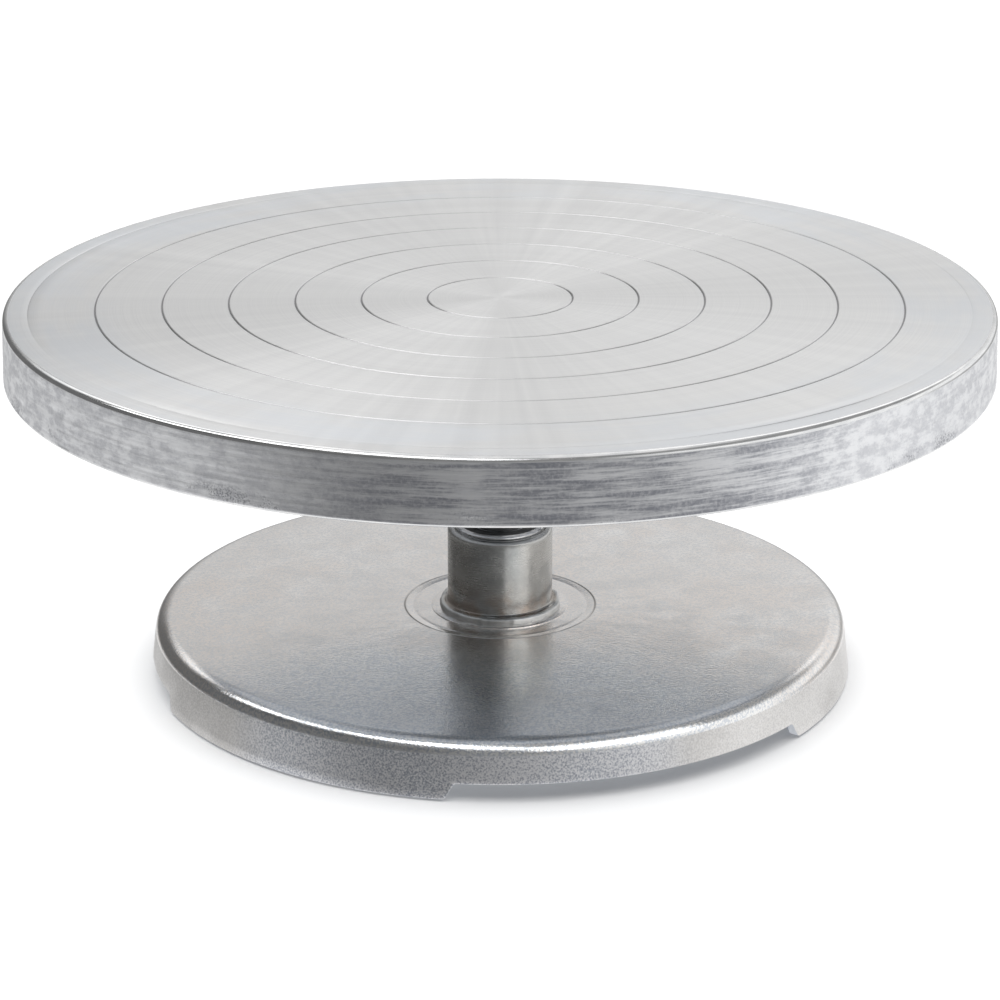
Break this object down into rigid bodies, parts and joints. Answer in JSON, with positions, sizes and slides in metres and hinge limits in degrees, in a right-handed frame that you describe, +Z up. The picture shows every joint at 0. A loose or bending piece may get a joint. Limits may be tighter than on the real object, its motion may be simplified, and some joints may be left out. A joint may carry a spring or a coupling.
{
  "type": "cake turntable",
  "caption": "Round aluminium cake turntable: a deep-rimmed disc with ring guide lines turns freely on a short steel post over a low cast base with notched feet.",
  "frame": {"origin": "on the table surface, under the middle of the base", "axes": "+Z up along the turning axis; +X to the right and +Y to the back; the first rubber foot is 7 degrees clockwise of +X, seen from above"},
  "size_m": [0.3, 0.3, 0.1175],
  "materials": {
    "machined_aluminium": "turned, bright, with fine concentric tool marks; rim left coarse",
    "cast_aluminium": "sand cast, dull",
    "base_aluminium": "cast and buffed satin, skirt left rough",
    "post_steel": "turned, lightly polished",
    "spindle_steel": "turned",
    "spacer_steel": "turned",
    "spring_steel": "phosphated, dark",
    "screw_steel": "zinc plated",
    "bearing_steel": "ground",
    "ball_steel": "polished",
    "cage_nylon": "moulded polyamide",
    "seal_rubber": "moulded nitrile rubber on a steel ring",
    "black_nylon": "moulded",
    "foot_rubber": "moulded, matt"
  },
  "bodies": {
    "base": {"outer_spacer": "spacer_steel", "post": "post_steel", "post_washer": "screw_steel", "post_nut": "screw_steel", "dust_plug": "black_nylon", "base": "base_aluminium", "foot_pad_1": "foot_rubber", "foot_pad_2": "foot_rubber", "foot_pad_3": "foot_rubber", "upper_outer_ring": "bearing_steel", "upper_top_seal": "seal_rubber", "upper_bottom_seal": "seal_rubber", "lower_outer_ring": "bearing_steel", "lower_top_seal": "seal_rubber", "lower_bottom_seal": "seal_rubber"},
    "plate": {"turntable_plate": "machined_aluminium", "plate_hub": "cast_aluminium", "hub_screws": "screw_steel", "hub_screw_washers": "screw_steel", "hub_grub_screws": "screw_steel", "spindle": "spindle_steel", "spindle_circlip": "spring_steel", "inner_spacer": "spacer_steel", "upper_inner_ring": "bearing_steel", "lower_inner_ring": "bearing_steel"},
    "upper_cage": {"upper_ball_cage": "cage_nylon", "upper_balls": "ball_steel"},
    "lower_cage": {"lower_ball_cage": "cage_nylon", "lower_balls": "ball_steel"}
  },
  "joints": [
    {"name": "plate_turn", "type": "hinge", "parent": "base", "child": "plate", "pos_m": [0, 0, 0.033], "axis": [0, 0, 1], "continuous": true},
    {"name": "upper_cage_turn", "type": "hinge", "parent": "base", "child": "upper_cage", "pos_m": [0, 0, 0.041], "axis": [0, 0, 1], "continuous": true},
    {"name": "lower_cage_turn", "type": "hinge", "parent": "base", "child": "lower_cage", "pos_m": [0, 0, 0.025], "axis": [0, 0, 1], "continuous": true}
  ],
  "couplings": [
    {"joint": "upper_cage_turn", "follows": "plate_turn", "ratio": 0.38095},
    {"joint": "lower_cage_turn", "follows": "plate_turn", "ratio": 0.38095}
  ]
}
